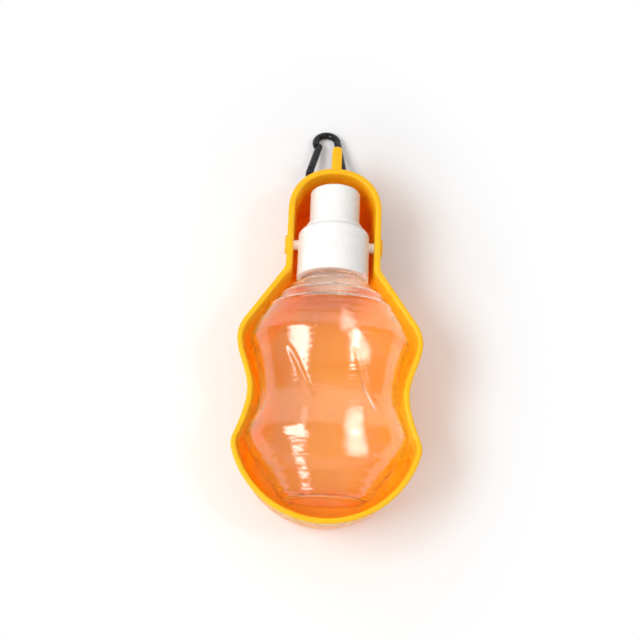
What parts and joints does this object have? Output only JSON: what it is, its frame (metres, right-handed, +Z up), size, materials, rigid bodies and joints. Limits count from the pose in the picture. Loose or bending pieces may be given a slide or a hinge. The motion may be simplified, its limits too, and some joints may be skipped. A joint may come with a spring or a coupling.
{
  "type": "dog travel water bottle",
  "caption": "Squeeze bottle for a dog that swings out of its own drinking trough on two pivots, with a twist-open nozzle and a snap hook on the trough's ear.",
  "frame": {"origin": "middle of the trough's length and width, on the surface that its flat back rests on", "axes": "+Y along the object towards the head, ear and snap hook; +Z up, out of the trough's mouth; +X across"},
  "size_m": [0.0858, 0.2138, 0.0625],
  "materials": {
    "trough": "satin moulded orange plastic",
    "bottle": "clear glossy blow-moulded plastic",
    "cap": "white moulded plastic, satin gloss",
    "gasket": "pale translucent silicone",
    "nozzle": "white moulded plastic, satin gloss",
    "o_ring": "dark silicone",
    "clip_wire": "glossy black enamel on steel wire",
    "clip_gate": "glossy black enamel on steel",
    "rivet": "glossy black enamel, as on the hook",
    "spring": "spring steel"
  },
  "bodies": {
    "trough": {"tray": "trough"},
    "bottle": {"bottle": "bottle", "cap_body": "cap", "neck_gasket": "gasket"},
    "seal": {"nozzle_o_ring": "o_ring"},
    "nozzle": {"nozzle": "nozzle"},
    "hook": {"clip_frame": "clip_wire"},
    "gate": {"clip_gate": "clip_gate", "clip_rivet": "rivet", "clip_spring": "spring"}
  },
  "joints": [
    {"name": "bottle_swing", "type": "hinge", "parent": "trough", "child": "bottle", "pos_m": [0, 0.0477, 0.0353], "axis": [-1, 0, 0], "range_deg": [-2, 125]},
    {"name": "nozzle_lift", "type": "slide", "parent": "bottle", "child": "seal", "axis": [0, 1, 0], "range_m": [0, 0.002]},
    {"name": "nozzle_twist", "type": "hinge", "parent": "seal", "child": "nozzle", "pos_m": [0, 0.06, 0.0353], "axis": [0, 1, 0], "range_deg": [0, 120]},
    {"name": "hook_swing", "type": "hinge", "parent": "trough", "child": "hook", "pos_m": [0, 0.0923, 0.012], "axis": [1, 0, 0], "range_deg": [-70, 60]},
    {"name": "gate_swing", "type": "hinge", "parent": "hook", "child": "gate", "pos_m": [-0.0133, 0.0989, 0.01], "axis": [0, -0.2896, -0.9571], "range_deg": [0, 16], "stiffness_Nm_per_rad": 0.02, "springref_deg": -17.19, "deforming": ["clip_spring"]}
  ],
  "couplings": [
    {"joint": "nozzle_twist", "follows": "nozzle_lift", "rad_per_m": 1047.2}
  ]
}
